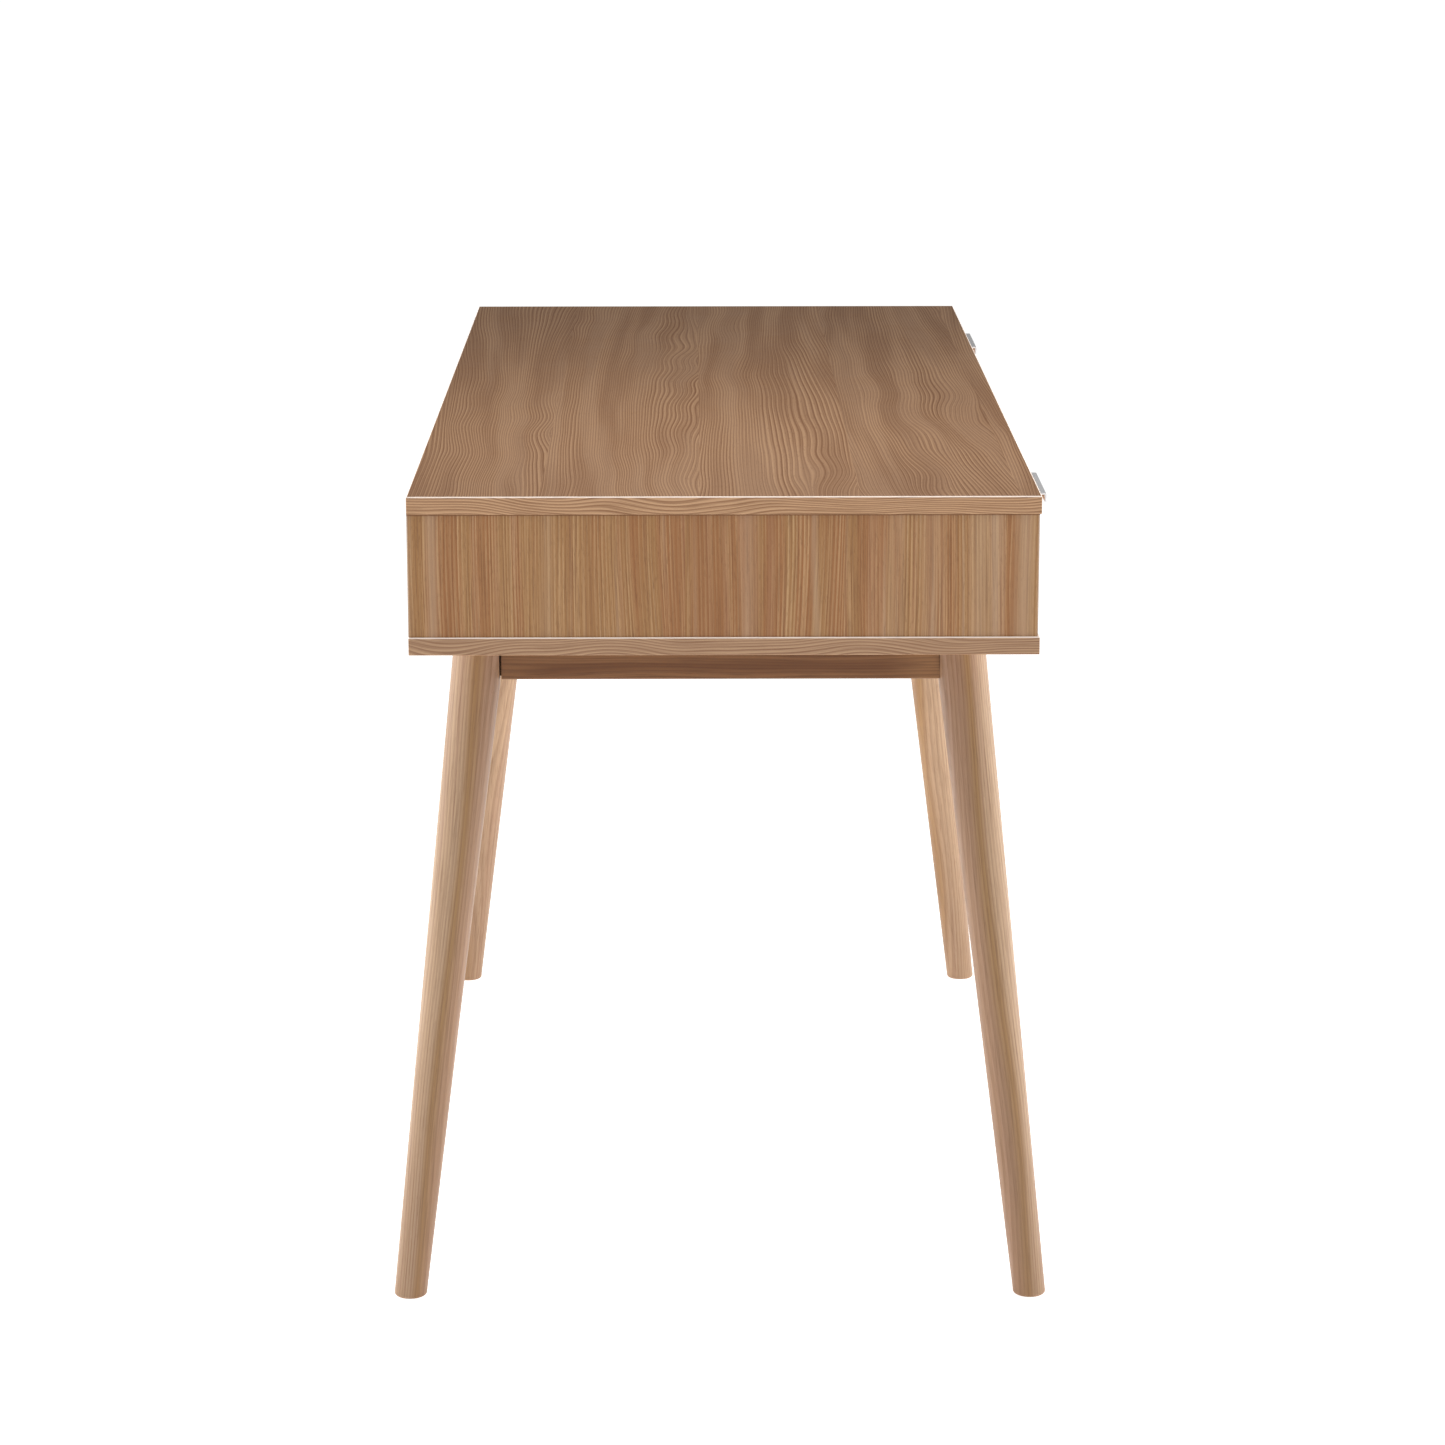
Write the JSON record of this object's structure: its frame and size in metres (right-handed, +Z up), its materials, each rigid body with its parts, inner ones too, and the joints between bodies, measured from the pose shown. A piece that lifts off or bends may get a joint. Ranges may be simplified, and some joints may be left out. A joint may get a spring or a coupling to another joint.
{
  "type": "writing desk with drawers",
  "caption": "Writing desk with a shallow wood-veneer case, a drawer with a slim metal pull at each end, an open cubby between them, and splayed round tapered wooden legs.",
  "frame": {"origin": "on the floor, midway between the four feet and midway between the two ends", "axes": "+X along the desk to the seated user's right, -Y towards the user, where the drawers open, +Z up"},
  "size_m": [1.2, 0.572, 0.73],
  "materials": {
    "top_veneer": "satin wood-look laminate, grain along the desk",
    "case_veneer": "satin wood-look laminate with banded edges",
    "solid_ash": "clear satin lacquer on solid wood",
    "rail_wood": "clear satin lacquer",
    "drawer_board": "matt laminate",
    "hardboard": "thin hardboard, printed face",
    "pull_metal": "satin anodised",
    "zinc_steel": "zinc plated",
    "cam_zinc": "die-cast zinc",
    "runner_steel": "galvanised sheet",
    "nylon": "natural nylon"
  },
  "bodies": {
    "desk": {"back_panel": "case_veneer", "back_rail": "rail_wood", "bracket_screws": "zinc_steel", "case_bottom": "case_veneer", "case_runner_glides": "nylon", "case_runner_left_inner": "runner_steel", "case_runner_left_outer": "runner_steel", "case_runner_right_inner": "runner_steel", "case_runner_right_outer": "runner_steel", "case_runner_screws": "zinc_steel", "case_screws": "zinc_steel", "corner_bracket_back_left": "zinc_steel", "corner_bracket_back_right": "zinc_steel", "corner_bracket_front_left": "zinc_steel", "corner_bracket_front_right": "zinc_steel", "desk_top": "top_veneer", "divider_left": "case_veneer", "divider_right": "case_veneer", "end_panel_left": "case_veneer", "end_panel_right": "case_veneer", "end_rail_left": "rail_wood", "end_rail_right": "rail_wood", "front_rail": "rail_wood", "hanger_bolts": "zinc_steel", "leg_back_left": "solid_ash", "leg_back_right": "solid_ash", "leg_front_left": "solid_ash", "leg_front_right": "solid_ash", "leg_nuts": "zinc_steel", "rail_screws": "zinc_steel", "top_cam_bolts": "zinc_steel", "top_cams": "cam_zinc"},
    "left_drawer": {"left_drawer_back": "drawer_board", "left_drawer_back_screws": "zinc_steel", "left_drawer_bottom": "hardboard", "left_drawer_cam_bolts": "zinc_steel", "left_drawer_cams": "cam_zinc", "left_drawer_front": "case_veneer", "left_drawer_glides": "nylon", "left_drawer_pull": "pull_metal", "left_drawer_pull_screws": "zinc_steel", "left_drawer_runner_inner": "runner_steel", "left_drawer_runner_outer": "runner_steel", "left_drawer_runner_screws": "zinc_steel", "left_drawer_side_inner": "drawer_board", "left_drawer_side_outer": "drawer_board"},
    "right_drawer": {"right_drawer_back": "drawer_board", "right_drawer_back_screws": "zinc_steel", "right_drawer_bottom": "hardboard", "right_drawer_cam_bolts": "zinc_steel", "right_drawer_cams": "cam_zinc", "right_drawer_front": "case_veneer", "right_drawer_glides": "nylon", "right_drawer_pull": "pull_metal", "right_drawer_pull_screws": "zinc_steel", "right_drawer_runner_inner": "runner_steel", "right_drawer_runner_outer": "runner_steel", "right_drawer_runner_screws": "zinc_steel", "right_drawer_side_inner": "drawer_board", "right_drawer_side_outer": "drawer_board"}
  },
  "joints": [
    {"name": "left_drawer_slide", "type": "slide", "parent": "desk", "child": "left_drawer", "axis": [0, -1, 0], "range_m": [0, 0.27]},
    {"name": "right_drawer_slide", "type": "slide", "parent": "desk", "child": "right_drawer", "axis": [0, -1, 0], "range_m": [0, 0.27]}
  ]
}
